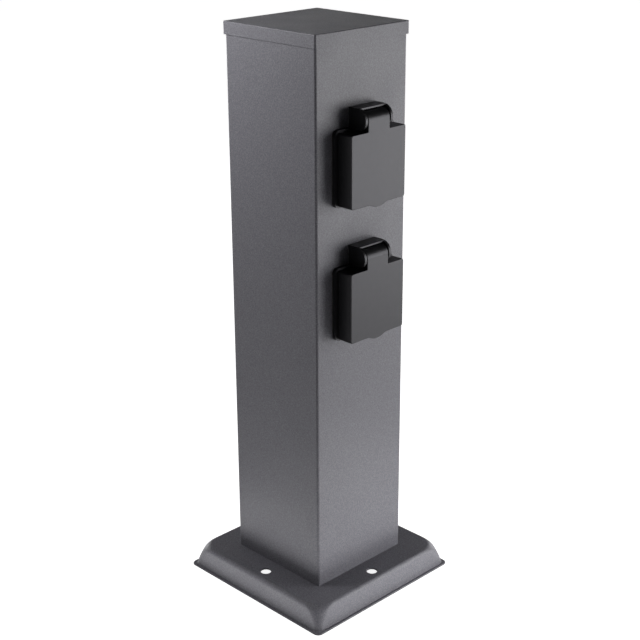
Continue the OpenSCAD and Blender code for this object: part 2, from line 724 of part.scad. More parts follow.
// U-shaped earth strap: flat across the insert's back, a clip with an inward tip at each end
module earth_strap() color("silver") bar(-strap_w / 2, strap_w / 2) {
  tip = recess_floor + clip_len;
  bend = tip - 2 * clip_bend;
  strap_in = strap_out - strap_t;
  upper_half = [
    [insert_back, strap_out], [bend, strap_out], [tip, strap_out - clip_bend], [tip, strap_in - clip_bend],
    [bend, strap_in], [insert_back + strap_t, strap_in]
  ];
  polygon(concat(upper_half, [for (i = [5 : -1 : 0]) [upper_half[i][0], -upper_half[i][1]]]));
}

module hinge_pin() color("silver") bar(pin_clearance - pin_end, pin_end - pin_clearance)
  translate([pin_out, pin_u]) circle(pin_r);

// Ring of points round a path at its point i, square to the path there
function wire_ring(path, i) =
  let (
    before = path[max(i - 1, 0)],
    after = path[min(i + 1, len(path) - 1)],
    forward = (after - before) / norm(after - before),
    side_raw = cross(forward, [1, 0, 0]),
    side = side_raw / norm(side_raw),
    across = cross(forward, side)
  )
  [for (a = [0 : 60 : 300]) path[i] + wire_r * (cos(a) * side + sin(a) * across)];

module lid_spring() color("silver") translate([0, pin_out, pin_u])
  skin([for (i = [0 : len(spring_path) - 1]) wire_ring(spring_path, i)]);

module lid_outline(inset)
  rounded_rect(lid_w - 2 * inset, lid_h - 2 * inset, max(lid_corner_r - inset, least_corner_r));

module lid() color([0.17, 0.17, 0.18]) difference() {
  tongue = tongue_w / 2;
  union() {
    plate(lid_inside, lid_front) {
      lid_outline(0);
      polygon([
        [-lip_w / 2, -lid_h / 2 + lip_drop], [-lip_w / 2, -lid_h / 2], [lip_slant - lip_w / 2, -lid_h / 2 - lip_drop],
        [lip_w / 2 - lip_slant, -lid_h / 2 - lip_drop], [lip_w / 2, -lid_h / 2], [lip_w / 2, -lid_h / 2 + lip_drop]
      ]);
    }
    plate(lid_back, lid_inside) difference() {
      lid_outline(0);
      lid_outline(lid_wall);
    }
    difference() {
      round_bar(seal_back, lid_inside, seal_mid_r + seal_w / 2);
      round_bar(seal_back - over, lid_inside, seal_mid_r - seal_w / 2);
    }
    bar(-tongue, tongue) {
      translate([lid_inside, lid_h / 2 - lid_wall]) square([lid_face, pin_u - lid_h / 2 + lid_wall]);
      translate([pin_out, pin_u]) circle(knuckle_r);
    }
  }
  round_bar(lid_back - over, collar_front + lid_gap, collar_r + lid_gap);
  bar(-tongue - over, tongue + over) translate([pin_out, pin_u]) circle(pin_r + pin_clearance);
  bar(-spring_space_w / 2, spring_space_w / 2) {
    translate([pin_out, pin_u]) circle(spring_space_r);
    translate([pin_out - 2 * knuckle_r, pin_u - knuckle_r]) square([2 * knuckle_r, 2 * knuckle_r]);
  }
  bar(-tongue, tongue) translate([lid_back - over, lid_h / 2 - lid_wall])
    square([lid_inside - lid_back + over, lid_wall]);
}

module lid_seal() color([0.08, 0.08, 0.08]) difference() {
  round_bar(seal_front, seal_back, seal_mid_r + seal_w / 2);
  round_bar(seal_front - over, seal_back + over, seal_mid_r - seal_w / 2);
}

module live_lead(z, y) color([0.45, 0.28, 0.15]) socket_lead(-terminal_pitch, y, z, sleeve_back);
module neutral_lead(z, y) color([0.2, 0.35, 0.7]) socket_lead(terminal_pitch, y, z, sleeve_back);
module earth_lead(z, y) color([0.55, 0.7, 0.15]) socket_lead(0, y, z, insert_back);

base_plate();
post_tube();
top_cap();
foot_brackets();
foot_screws();
foot_nuts();
cable_grommet();
terminal_bracket();
terminal_housing();
terminal_blocks();
terminal_screws();
housing_screws();
housing_nuts();
earth_stud();
earth_lug();
earth_washer();
earth_nut();
case_earth_lead();
at_socket(upper_z) gasket();  // upper_gasket
at_socket(upper_z) socket_frame();  // upper_frame
at_socket(upper_z) insert();  // upper_insert
at_socket(upper_z) rear_cover();  // upper_rear_cover
at_socket(upper_z) contact_sleeves();  // upper_contact_sleeves
at_socket(upper_z) contact_screws();  // upper_contact_screws
at_socket(upper_z) earth_strap();  // upper_earth_strap
at_socket(upper_z) frame_screws();  // upper_frame_screws
at_socket(upper_z) frame_nuts();  // upper_frame_nuts
at_socket(upper_z) hinge_pin();  // upper_hinge_pin
at_socket(upper_z) lid_spring();  // upper_lid_spring
at_socket(upper_z) lid();  // upper_lid
at_socket(upper_z) lid_seal();  // upper_lid_seal
at_socket(lower_z) gasket();  // lower_gasket
at_socket(lower_z) socket_frame();  // lower_frame
at_socket(lower_z) insert();  // lower_insert
at_socket(lower_z) rear_cover();  // lower_rear_cover
at_socket(lower_z) contact_sleeves();  // lower_contact_sleeves
at_socket(lower_z) contact_screws();  // lower_contact_screws
at_socket(lower_z) earth_strap();  // lower_earth_strap
at_socket(lower_z) frame_screws();  // lower_frame_screws
at_socket(lower_z) frame_nuts();  // lower_frame_nuts
at_socket(lower_z) hinge_pin();  // lower_hinge_pin
at_socket(lower_z) lid_spring();  // lower_lid_spring
at_socket(lower_z) lid();  // lower_lid
at_socket(lower_z) lid_seal();  // lower_lid_seal
live_lead(upper_z, upper_lead_y);  // upper_live_lead
neutral_lead(upper_z, upper_lead_y);  // upper_neutral_lead
earth_lead(upper_z, upper_lead_y);  // upper_earth_lead
live_lead(lower_z, lower_lead_y);  // lower_live_lead
neutral_lead(lower_z, lower_lead_y);  // lower_neutral_lead
earth_lead(lower_z, lower_lead_y);  // lower_earth_lead
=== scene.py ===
import json
import bmesh
import bpy
import numpy as np
from math import cos, radians, sin
from mathutils import Matrix, Vector


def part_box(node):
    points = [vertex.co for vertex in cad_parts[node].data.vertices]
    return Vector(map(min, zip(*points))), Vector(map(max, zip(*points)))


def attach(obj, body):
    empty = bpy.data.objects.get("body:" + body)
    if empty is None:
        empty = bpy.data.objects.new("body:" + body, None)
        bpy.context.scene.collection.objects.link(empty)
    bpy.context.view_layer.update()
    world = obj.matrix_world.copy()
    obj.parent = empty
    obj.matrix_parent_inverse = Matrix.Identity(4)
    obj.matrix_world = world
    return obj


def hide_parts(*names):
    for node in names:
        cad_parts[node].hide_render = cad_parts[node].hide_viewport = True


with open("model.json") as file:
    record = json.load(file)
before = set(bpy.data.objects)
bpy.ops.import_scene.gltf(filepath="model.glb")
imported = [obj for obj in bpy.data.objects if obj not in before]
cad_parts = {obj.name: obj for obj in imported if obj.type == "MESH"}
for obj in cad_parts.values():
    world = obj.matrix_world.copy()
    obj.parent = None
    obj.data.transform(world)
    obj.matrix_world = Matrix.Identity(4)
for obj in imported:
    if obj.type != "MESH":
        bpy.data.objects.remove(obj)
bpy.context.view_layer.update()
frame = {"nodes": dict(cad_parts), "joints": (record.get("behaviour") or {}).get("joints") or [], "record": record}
cadNodes = frame["nodes"]
mm = 0.001
sockets = ("upper", "lower")
print("frame loaded:", len(cadNodes), "nodes")

# the camera, fitted to the photograph: metres, degrees, and the optical axis in a frame of 640 pixels, which
# stays near the middle so that other views keep the whole post
cameraSetup = {
    "place": (-0.5852, -0.599, 0.5059),
    "yaw": 44.888,
    "pitch": 20.022,
    "roll": -0.171,
    "focalPixels": 1338.5,
    "axisPixel": (330.0, 300.0),
    "imagePixels": 640,
    "sensorWidth": 36,
    "clipStart": 0.01,
    "clipEnd": 50,
}


def placeCamera(setup):
    yaw, pitch, roll = (radians(setup[key]) for key in ("yaw", "pitch", "roll"))
    ahead = Vector((sin(yaw) * cos(pitch), cos(yaw) * cos(pitch), -sin(pitch)))
    level = Vector((cos(yaw), -sin(yaw), 0))
    upright = level.cross(ahead)
    right = level * cos(roll) + upright * sin(roll)
    up = upright * cos(roll) - level * sin(roll)
    data = bpy.data.cameras.new("photoCamera")
    data.sensor_width = setup["sensorWidth"]
    data.lens = setup["focalPixels"] / setup["imagePixels"] * data.sensor_width
    data.shift_x = 0.5 - setup["axisPixel"][0] / setup["imagePixels"]
    data.shift_y = setup["axisPixel"][1] / setup["imagePixels"] - 0.5
    data.clip_start = setup["clipStart"]
    data.clip_end = setup["clipEnd"]
    camera = bpy.data.objects.new("photoCamera", data)
    turn = Matrix((right, up, -ahead)).transposed().to_4x4()
    camera.matrix_world = Matrix.Translation(setup["place"]) @ turn
    bpy.context.scene.collection.objects.link(camera)
    bpy.context.scene.camera = camera


placeCamera(cameraSetup)
bpy.context.scene.view_settings.view_transform = "Standard"
print("camera placed")

# Materials: each starts from a shader and its object coordinates; the noise is turned, because a square-on
# face would show less of it
noiseTurn = (0.5, 0.35, 0.8)


def startMaterial(name):
    material = bpy.data.materials.new(name)
    material.use_nodes = True
    tree = material.node_tree
    shader = tree.nodes["Principled BSDF"]
    coords = tree.nodes.new("ShaderNodeTexCoord").outputs["Object"]
    return material, tree, shader, coords


def addNoise(tree, coords, scale, detail, stretch=(1, 1, 1)):
    mapping = tree.nodes.new("ShaderNodeMapping")
    mapping.inputs["Scale"].default_value = stretch
    mapping.inputs["Rotation"].default_value = noiseTurn
    noise = tree.nodes.new("ShaderNodeTexNoise")
    noise.inputs["Scale"].default_value = scale
    noise.inputs["Detail"].default_value = detail
    tree.links.new(coords, mapping.inputs["Vector"])
    tree.links.new(mapping.outputs["Vector"], noise.inputs["Vector"])
    return noise.outputs["Fac"]


def addRange(tree, value, low, high, fromLow=0.3, fromHigh=0.7):
    spread = tree.nodes.new("ShaderNodeMapRange")
    spread.inputs["From Min"].default_value = fromLow
    spread.inputs["From Max"].default_value = fromHigh
    spread.inputs["To Min"].default_value = low
    spread.inputs["To Max"].default_value = high
    tree.links.new(value, spread.inputs["Value"])
    return spread.outputs["Result"]


def addColours(tree, shader, value, stops, colours):
    ramp = tree.nodes.new("ShaderNodeValToRGB")
    elements = ramp.color_ramp.elements
    elements[0].position = stops[0]
    elements[0].color = (*colours[0], 1)
    elements[1].position = stops[-1]
    elements[1].color = (*colours[-1], 1)
    for place, colour in zip(stops[1:-1], colours[1:-1]):
        elements.new(place).color = (*colour, 1)
    tree.links.new(value, ramp.inputs["Fac"])
    tree.links.new(ramp.outputs["Color"], shader.inputs["Base Color"])


def addRoughness(tree, shader, coords, look):
    noise = addNoise(tree, coords, look["roughScale"], look["roughDetail"])
    tree.links.new(addRange(tree, noise, look["roughLow"], look["roughHigh"]), shader.inputs["Roughness"])


def addBump(tree, shader, height, look):
    bump = tree.nodes.new("ShaderNodeBump")
    bump.inputs["Strength"].default_value = look["bump"]
    bump.inputs["Distance"].default_value = look["bumpDepth"]
    tree.links.new(height, bump.inputs["Height"])
    tree.links.new(bump.outputs["Normal"], shader.inputs["Normal"])


# anthracite powder coat: a fine orange peel with pale and dark grains
powderCoat = {"dark": (0.092, 0.09, 0.104), "mid": (0.118, 0.116, 0.132), "pale": (0.156, 0.154, 0.173),
              "stops": (0.34, 0.5, 0.68), "grain": 1300, "peel": 900, "detail": 3,
              "bump": 0.5, "bumpDepth": 0.2 * mm, "gloss": 0.3,
              "roughScale": 40, "roughDetail": 3, "roughLow": 0.43, "roughHigh": 0.49}


def makePowderCoat(look):
    material, tree, shader, coords = startMaterial("anthracitePowderCoat")
    grain = addNoise(tree, coords, look["grain"], look["detail"])
    addColours(tree, shader, grain, look["stops"], (look["dark"], look["mid"], look["pale"]))
    addRoughness(tree, shader, coords, look)
    addBump(tree, shader, addNoise(tree, coords, look["peel"], look["detail"]), look)
    shader.inputs["Specular IOR Level"].default_value = look["gloss"]
    return material


# plastics, rubber and insulation share faint clouds and a fine spark-eroded skin; each adds its own values
plasticSkin = {"cloud": 300, "cloudDetail": 4, "stops": (0.35, 0.65), "skinDetail": 2,
               "bump": 0.12, "bumpDepth": 0.05 * mm, "roughScale": 600, "roughDetail": 3,
               "gloss": 0.5, "sheenTint": (1, 1, 1)}
lidPlastic = {"dark": (0.0025, 0.0025, 0.0028), "pale": (0.0045, 0.0045, 0.005), "skin": 2600,
              "roughLow": 0.37, "roughHigh": 0.41, "gloss": 0.27, "sheenTint": (0.93, 0.92, 1.0)}
insertPlastic = {"dark": (0.022, 0.022, 0.024), "pale": (0.036, 0.036, 0.039), "skin": 1800,
                 "roughLow": 0.5, "roughHigh": 0.6}
housingPlastic = {"dark": (0.72, 0.71, 0.66), "pale": (0.8, 0.79, 0.74), "skin": 1200,
                  "roughLow": 0.4, "roughHigh": 0.5}
blackRubber = {"dark": (0.012, 0.012, 0.012), "pale": (0.024, 0.024, 0.023), "skin": 900,
               "roughLow": 0.68, "roughHigh": 0.8}
brownLead = {"dark": (0.1, 0.042, 0.017), "pale": (0.13, 0.055, 0.022), "skin": 700,
             "roughLow": 0.3, "roughHigh": 0.4}
blueLead = {"dark": (0.012, 0.06, 0.3), "pale": (0.02, 0.08, 0.38), "skin": 700,
            "roughLow": 0.3, "roughHigh": 0.4}


def makePlastic(name, own):
    look = {**plasticSkin, **own}
    material, tree, shader, coords = startMaterial(name)
    cloud = addNoise(tree, coords, look["cloud"], look["cloudDetail"])
    addColours(tree, shader, cloud, look["stops"], (look["dark"], look["pale"]))
    addRoughness(tree, shader, coords, look)
    addBump(tree, shader, addNoise(tree, coords, look["skin"], look["skinDetail"]), look)
    shader.inputs["Specular IOR Level"].default_value = look["gloss"]
    shader.inputs["Specular Tint"].default_value = (*look["sheenTint"], 1)
    return material


# green and yellow insulation: the earth leads lie in the plane x = 0, where a yellow stripe runs along them
earthLead = {"green": (0.04, 0.2, 0.03), "yellow": (0.6, 0.48, 0.03), "stripeHalf": 0.45 * mm,
             "stripeBlend": 0.1, "roughScale": 200, "roughDetail": 2, "roughLow": 0.3, "roughHigh": 0.4}


def makeEarthLead(look):
    material, tree, shader, coords = startMaterial("greenYellowInsulation")
    split = tree.nodes.new("ShaderNodeSeparateXYZ")
    tree.links.new(coords, split.inputs["Vector"])
    distance = tree.nodes.new("ShaderNodeMath")
    distance.operation = "ABSOLUTE"
    tree.links.new(split.outputs["X"], distance.inputs[0])
    half, blend = look["stripeHalf"], look["stripeBlend"]
    edge = addRange(tree, distance.outputs[0], 0, 1, half * (1 - blend), half * (1 + blend))
    addColours(tree, shader, edge, (0, 1), (look["yellow"], look["green"]))
    addRoughness(tree, shader, coords, look)
    return material


# plated and bare metals share fine drawn lines, stretched along one axis; each adds its own values
drawnMetal = {"lines": 1600, "linesDetail": 3, "stops": (0.3, 0.7), "bump": 0.08, "bumpDepth": 0.03 * mm,
              "roughScale": 260, "roughDetail": 3}
zincSteel = {"dark": (0.2, 0.205, 0.215), "pale": (0.33, 0.335, 0.35), "stretch": (1, 1, 0.08),
             "roughLow": 0.4, "roughHigh": 0.52}
springSteel = {"dark": (0.4, 0.4, 0.41), "pale": (0.58, 0.58, 0.58), "stretch": (0.1, 1, 1),
               "roughLow": 0.2, "roughHigh": 0.32}
contactBrass = {"dark": (0.5, 0.33, 0.11), "pale": (0.68, 0.48, 0.19), "stretch": (1, 0.1, 1),
                "roughLow": 0.22, "roughHigh": 0.36}


def makeMetal(name, own):
    look = {**drawnMetal, **own}
    material, tree, shader, coords = startMaterial(name)
    lines = addNoise(tree, coords, look["lines"], look["linesDetail"], look["stretch"])
    addColours(tree, shader, lines, look["stops"], (look["dark"], look["pale"]))
    addRoughness(tree, shader, coords, look)
    addBump(tree, shader, lines, look)
    shader.inputs["Metallic"].default_value = 1
    return material


finishes = {
    "powder_coat": makePowderCoat(powderCoat),
    "black_plastic": makePlastic("blackLidPlastic", lidPlastic),
    "insert_plastic": makePlastic("darkInsertPlastic", insertPlastic),
    "white_plastic": makePlastic("housingPlastic", housingPlastic),
    "black_rubber": makePlastic("blackRubber", blackRubber),
    "zinc_steel": makeMetal("zincPlatedSteel", zincSteel),
    "spring_steel": makeMetal("brightSpringSteel", springSteel),
    "contact_brass": makeMetal("contactBrass", contactBrass),
    "live_insulation": makePlastic("brownInsulation", brownLead),
    "neutral_insulation": makePlastic("blueInsulation", blueLead),
    "earth_insulation": makeEarthLead(earthLead),
}
slotOf = {row["node"]: row["material_slot"] for row in frame["record"]["subparts"]}
for nodeName, cadNode in cadNodes.items():
    cadNode.data.materials.clear()
    cadNode.data.materials.append(finishes[slotOf[nodeName]])
print("finishes made:", len(finishes))

# Meshes: edges over these angles in degrees stay sharp, and points within the weld in metres are joined
meshRules = {"sharp": 38, "cutSharp": 30, "weld": 1e-7}


def gridFaces(rows, columns, closeRows=False):
    # quads of a grid whose columns run round in a ring; closeRows joins the last row to the first
    row = np.arange(rows if closeRows else rows - 1)[:, None]
    column = np.arange(columns)[None, :]
    nextRow = (row + 1) % rows
    nextColumn = (column + 1) % columns
    corners = [row * columns + column, row * columns + nextColumn,
               nextRow * columns + nextColumn, nextRow * columns + column]
    return np.stack(np.broadcast_arrays(*corners), -1).reshape(-1, 4)


def sheetMesh(name, surfaces):
    # joins several ring grids, each (rows, columns, 3) in metres with the kind of its ends, into one mesh of
    # closed shells
    points, faces, start = [], [], 0
    for rings, ends in surfaces:
        rows, columns = rings.shape[:2]
        points.append(rings.reshape(-1, 3))
        faces += (gridFaces(rows, columns, ends == "loop") + start).tolist()
        if ends == "capped":
            faces.append(list(range(start, start + columns))[::-1])
            faces.append(list(range(start + (rows - 1) * columns, start + rows * columns)))
        start += rows * columns
    mesh = bpy.data.meshes.new(name)
    mesh.from_pydata(np.concatenate(points).tolist(), [], faces)
    faceOutwards(mesh, meshRules["sharp"])
    return mesh


def faceOutwards(mesh, sharpAngle):
    work = bmesh.new()
    work.from_mesh(mesh)
    bmesh.ops.remove_doubles(work, verts=work.verts, dist=meshRules["weld"])
    bmesh.ops.recalc_face_normals(work, faces=work.faces)
    work.to_mesh(mesh)
    work.free()
    smoothFaces(mesh, sharpAngle)
    mesh.update()


def smoothFaces(mesh, sharpAngle):
    mesh.polygons.foreach_set("use_smooth", [True] * len(mesh.polygons))
    mesh.set_sharp_from_angle(angle=radians(sharpAngle))


def flatFaces(piece):
    # large flat faces keep their own normals beside round edges
    piece.modifiers.new("flatFaces", "WEIGHTED_NORMAL").keep_sharp = True


def addPiece(name, mesh, slotName, body, *replaced):
    piece = bpy.data.objects.new(name, mesh)
    bpy.context.scene.collection.objects.link(piece)
    mesh.materials.append(finishes[slotName])
    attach(piece, body)
    if replaced:
        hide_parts(*replaced)
    return piece


def cutHoles(mesh, cutters):
    # takes closed cutter meshes out of a closed mesh and gives back the finished mesh
    holder = bpy.data.objects.new("holder", mesh)
    bpy.context.scene.collection.objects.link(holder)
    tools = []
    for cutter in cutters:
        tool = bpy.data.objects.new("cutter", cutter)
        bpy.context.scene.collection.objects.link(tool)
        cut = holder.modifiers.new("cut", "BOOLEAN")
        cut.object = tool
        cut.solver = "EXACT"
        tools.append(tool)
    bpy.context.view_layer.update()
    finished = bpy.data.meshes.new_from_object(holder.evaluated_get(bpy.context.evaluated_depsgraph_get()))
    for spare in [holder, *tools]:
        bpy.data.objects.remove(spare)
    faceOutwards(finished, meshRules["cutSharp"])
    return finished


def turnedRings(radius, height, centre, axis, steps):
    # profile of radius against height, turned about an axis: point = centre + height*axis + radius*(cos, sin)
    angle = np.linspace(0, 2 * np.pi, steps, endpoint=False)
    axis = np.array(axis, float)
    side = np.array([1.0, 0, 0]) if abs(axis[0]) < 0.5 else np.array([0, 1.0, 0])
    across = np.cross(axis, side)
    spoke = np.cos(angle)[:, None] * side + np.sin(angle)[:, None] * across
    along = np.array(height)[:, None, None] * axis
    outwards = np.array(radius)[:, None, None] * spoke
    return np.array(centre) + along + outwards


def roundedOutline(halfX, halfY, radius, cornerSteps, topX=(), bottomX=()):
    # one ring per entry: quarter circles at the corners, joined by straight sides, with extra points on the
    # top and bottom sides
    sizes = (halfX, halfY, radius)
    halfX, halfY, radius = (np.atleast_1d(np.asarray(size, float))[:, None] for size in sizes)
    quarter = np.linspace(0, np.pi / 2, cornerSteps + 1)[None, :]
    parts = []
    for corner, (signX, signY) in enumerate([(1, 1), (-1, 1), (-1, -1), (1, -1)]):
        angle = quarter + corner * np.pi / 2
        x = signX * (halfX - radius) + radius * np.cos(angle)
        y = signY * (halfY - radius) + radius * np.sin(angle)
        parts.append(np.stack([x, y], -1))
        extra = {0: np.array(topX)[::-1], 2: np.array(bottomX)}.get(corner, np.zeros(0))
        if len(extra):
            sideX = np.broadcast_to(extra[None, :], (len(halfX), len(extra)))
            parts.append(np.stack([sideX, np.broadcast_to(signY * halfY, sideX.shape)], -1))
    return np.concatenate(parts, 1)


def arc(centre, radius, fromDegrees, toDegrees, steps):
    # points of a circular arc in a profile, one row each
    angle = np.radians(np.linspace(fromDegrees, toDegrees, steps))
    return np.stack([centre[0] + radius * np.cos(angle), centre[1] + radius * np.sin(angle)], -1)


def squareRings(profile, steps):
    # profile rows of distance, height and corner radius, each carried round a square with round corners
    outline = roundedOutline(profile[:, 0], profile[:, 0], profile[:, 2], steps)
    level = np.broadcast_to(profile[:, 1][:, None, None], outline.shape[:2] + (1,))
    return np.concatenate([outline, level], -1) * mm


def loosePlaces(nodeName, axis, samples=200, reach=9 * mm, apart=4 * mm):
    # middles of the separate solids of a CAD node, seen along an axis
    points = np.empty(len(cadNodes[nodeName].data.vertices) * 3)
    cadNodes[nodeName].data.vertices.foreach_get("co", points)
    points = points.reshape(-1, 3)
    flat = np.delete(points, axis, 1)
    places = []
    for point in flat[:: len(flat) // samples + 1]:
        near = points[np.hypot(*(flat - point).T) < reach]
        place = (near.min(0) + near.max(0)) / 2
        if all(np.linalg.norm(place - other) > apart for other in places):
            places.append(place)
    return places


# Base: a pressed sheet, in millimetres; a small bend at its top edge, and tighter corners towards the foot
basePress = {"sheet": 1.2, "rim": 2.0, "rimHeight": 1.2, "rimRound": 0.55, "rimCorner": 4.0, "lowCorner": 5.0,
             "topCorner": 14.0, "shoulder": 3.0, "drop": 5.0, "lean": 10.0, "foot": 0.5,
             "bendSteps": 13, "fallSteps": 8, "footSteps": 7, "rimSteps": 5, "lowRimSteps": 4,
             "cornerSteps": 14, "boltCircle": 103.0, "boltHole": 7.2, "boltFlare": 0.35, "flareTurn": 0.3,
             "screwHole": 4.1, "grommetLip": 2, "cutDepth": 4, "cutOver": 1, "holeSteps": 48}


def pressProfile(look, half, height):
    # down the outside: part of an ellipse, a leaning side, a foot fillet and the rim; back along the
    # underside and up the inside; the corner radius grows with the square of the height; columns are
    # distance, height and corner radius
    side, sheet, foot, rimTop = half - look["rim"], look["sheet"], look["foot"], look["rimHeight"]
    shoulder, drop, lean = look["shoulder"], look["drop"], radians(look["lean"])
    last = np.arctan(drop / shoulder * np.tan(lean))
    turn = np.linspace(np.pi / 2, last, look["bendSteps"])[:, None]
    footLevel = rimTop + foot - foot * np.sin(lean)
    run = (height - drop + drop * np.sin(last) - footLevel) * np.tan(lean)
    middle = np.array([side - run - shoulder * np.cos(last), height - drop])
    bend = middle + np.hstack([shoulder * np.cos(turn), drop * np.sin(turn)])
    fall = np.linspace(bend[-1], (side, footLevel), look["fallSteps"])[1:-1]
    footMiddle = (side + foot * np.cos(lean), rimTop + foot)
    footArc = arc(footMiddle, foot, 180 + look["lean"], 270, look["footSteps"])
    soft = look["rimRound"]
    rim = np.concatenate([arc((half - soft, rimTop - soft), soft, 90, 0, look["rimSteps"]),
                          arc((half - soft / 2, soft / 2), soft / 2, 0, -90, look["lowRimSteps"])])
    under = np.array([(side - sheet, 0.0)])
    inside = (middle + np.hstack([(shoulder - sheet) * np.cos(turn), (drop - sheet) * np.sin(turn)]))[::-2]
    line = np.concatenate([bend, fall, footArc, rim, under, inside])
    rise = np.clip((line[:, 1] - rimTop) / (height - rimTop), 0, 1)
    corner = look["lowCorner"] + (look["topCorner"] - look["lowCorner"]) * rise * rise
    flare = np.clip((line[:, 0] - side) / look["rim"], 0, 1)
    return np.column_stack([line, corner + flare * (look["rimCorner"] - corner)])


def buildBase(look):
    # the profile carried round a square, with flared bolt holes and straight holes for screws and grommet
    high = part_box("base_plate")[1]
    half, height = high.x / mm, high.z / mm
    press = squareRings(pressProfile(look, half, height), look["cornerSteps"])
    deep, over = height - look["cutDepth"], height + look["cutOver"]
    hole, flare = look["boltHole"] / 2, look["boltFlare"]
    turn = flare * look["flareTurn"]
    boltCut = [(hole, deep), (hole, height - flare), (hole + turn, height - turn),
               (hole + flare, height), (hole + flare * 2, height + flare)]
    cuts = [(boltCut, np.array((x, y, 0)) * look["boltCircle"] / 2 * mm)
            for x, y in ((1, 0), (0, 1), (-1, 0), (0, -1))]
    screwHole = look["screwHole"] / 2
    cuts += [([(screwHole, deep), (screwHole, over)], (place[0], place[1], 0))
             for place in loosePlaces("foot_screws", 2)]
    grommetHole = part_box("cable_grommet")[1].x / mm - look["grommetLip"]
    cuts.append(([(grommetHole, deep), (grommetHole, over)], (0, 0, 0)))
    cutters = []
    for cut, centre in cuts:
        radius, level = (np.array(cut) * mm).T
        rings = turnedRings(radius, level, centre, (0, 0, 1), look["holeSteps"])
        cutters.append(sheetMesh("holeCutter", [(rings, "capped")]))
    finished = cutHoles(sheetMesh("basePress", [(press, "capped")]), cutters)
    flatFaces(addPiece("basePress", finished, "powder_coat", "post", "base_plate"))


buildBase(basePress)
print("base pressed")

# Cap: folded sheet with a small bend round its top edge
capFold = {"sheet": 0.8, "skirt": 8.3, "bend": 0.5, "leastBend": 0.2, "corner": 1.2, "leastCorner": 0.15,
           "edgeRound": 0.2, "bendSteps": 8, "edgeSteps": 4, "cornerSteps": 6}


def buildCap(look):
    # profile round the bend, down the skirt's outside, round its lower edge and up the inside
    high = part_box("top_cap")[1]
    half, top = high.x / mm, high.z / mm
    bottom = top - look["skirt"]
    bend, sheet, soft, edgeSteps = look["bend"], look["sheet"], look["edgeRound"], look["edgeSteps"]
    inner = half - sheet
    innerBend = max(bend - sheet, look["leastBend"])
    line = np.concatenate([
        arc((half - bend, top - bend), bend, 90, 0, look["bendSteps"]),
        arc((half - soft, bottom + soft), soft, 0, -90, edgeSteps),
        arc((inner + soft, bottom + soft), soft, 270, 180, edgeSteps),
        arc((inner - innerBend, top - sheet - innerBend), innerBend, 0, 90, edgeSteps),
    ])
    corner = np.clip(look["corner"] - (half - line[:, 0]), look["leastCorner"], None)
    rings = squareRings(np.column_stack([line, corner]), look["cornerSteps"])
    mesh = sheetMesh("foldedCap", [(rings, "capped")])
    flatFaces(addPiece("foldedCap", mesh, "powder_coat", "post", "top_cap"))


buildCap(capFold)
print("cap folded")

# Frames: the CAD solids keep their shape and get soft edges; width in millimetres, weld in metres, and angles
# in degrees
frameEdge = {"width": 0.3, "segments": 2, "bevelAngle": 40, "sharpAngle": 32, "flatAngle": 0.4, "weld": 2e-6}


def softCopy(name, nodeName, look):
    mesh = bpy.data.meshes.new(name)
    work = bmesh.new()
    work.from_mesh(cadNodes[nodeName].data)
    bmesh.ops.remove_doubles(work, verts=work.verts, dist=look["weld"])
    bmesh.ops.dissolve_limit(work, angle_limit=radians(look["flatAngle"]), verts=work.verts, edges=work.edges)
    bmesh.ops.recalc_face_normals(work, faces=work.faces)
    work.to_mesh(mesh)
    work.free()
    smoothFaces(mesh, look["sharpAngle"])
    body = next(row for row, nodes in frame["record"]["behaviour"]["bodies"].items() if nodeName in nodes)
    piece = addPiece(name, mesh, slotOf[nodeName], body, nodeName)
    soft = piece.modifiers.new("softEdges", "BEVEL")
    soft.width = look["width"] * mm
    soft.segments = look["segments"]
    soft.limit_method = "ANGLE"
    soft.angle_limit = radians(look["bevelAngle"])
    soft.use_clamp_overlap = True
    flatFaces(piece)


for socket in sockets:
    softCopy(socket + "Frame", socket + "_frame", frameEdge)
print("frames softened")

# Frame screws: countersunk, with a cross recess in the head
screwForm = {"shank": 1.5, "head": 2.8, "headDepth": 1.4, "edge": 0.12, "edgeSteps": 4, "tip": 0.4,
             "steps": 40, "recess": 1.75, "recessArm": 0.36, "recessDepth": 1.1, "recessTaper": 0.5,
             "recessOver": 0.2}


def screwRings(look, place, front, end):
    # radius against depth: over the head's round edge, down its cone, along the shank and over the chamfer at
    # its end
    turn = np.linspace(0, np.pi / 2, look["edgeSteps"])
    edge, head, shank, tip = look["edge"], look["head"], look["shank"], look["tip"]
    radius = np.concatenate([head - edge + edge * np.sin(turn), [shank, shank, shank - tip]])
    depth = np.concatenate([edge - edge * np.cos(turn), [look["headDepth"], end - tip, end]])
    return turnedRings(radius * mm, depth * mm, (place[0], front, place[2]), (0, 1, 0), look["steps"])


def recessRings(look, place, front):
    # a plus outline that narrows with depth: points (reach, arm), (arm, arm) and (arm, reach) turned through
    # the four quarters
    arm, reach = look["recessArm"], look["recess"]
    quarter = np.array([(reach, arm), (arm, arm), (arm, reach)])
    turns = np.array([[(1, 0), (0, 1)], [(0, -1), (1, 0)], [(-1, 0), (0, -1)], [(0, 1), (-1, 0)]])
    plus = np.concatenate([quarter @ turn.T for turn in turns])
    depth = np.array([-look["recessOver"], 0.0, look["recessDepth"]])
    size = np.array([1.0, 1.0, look["recessTaper"]])[:, None, None] * plus
    level = np.broadcast_to(depth[:, None], size.shape[:2])
    return np.stack([place[0] + size[..., 0] * mm, front + level * mm, place[2] + size[..., 1] * mm], -1)


def buildScrews(socket, look):
    node = socket + "_frame_screws"
    low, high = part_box(node)
    places = loosePlaces(node, 1)
    shapes = [(screwRings(look, place, low.y, (high.y - low.y) / mm), "capped") for place in places]
    recesses = [(recessRings(look, place, low.y), "capped") for place in places]
    finished = cutHoles(sheetMesh(socket + "Screws", shapes), [sheetMesh("recessCutter", recesses)])
    addPiece(socket + "Screws", finished, "zinc_steel", "post", node)


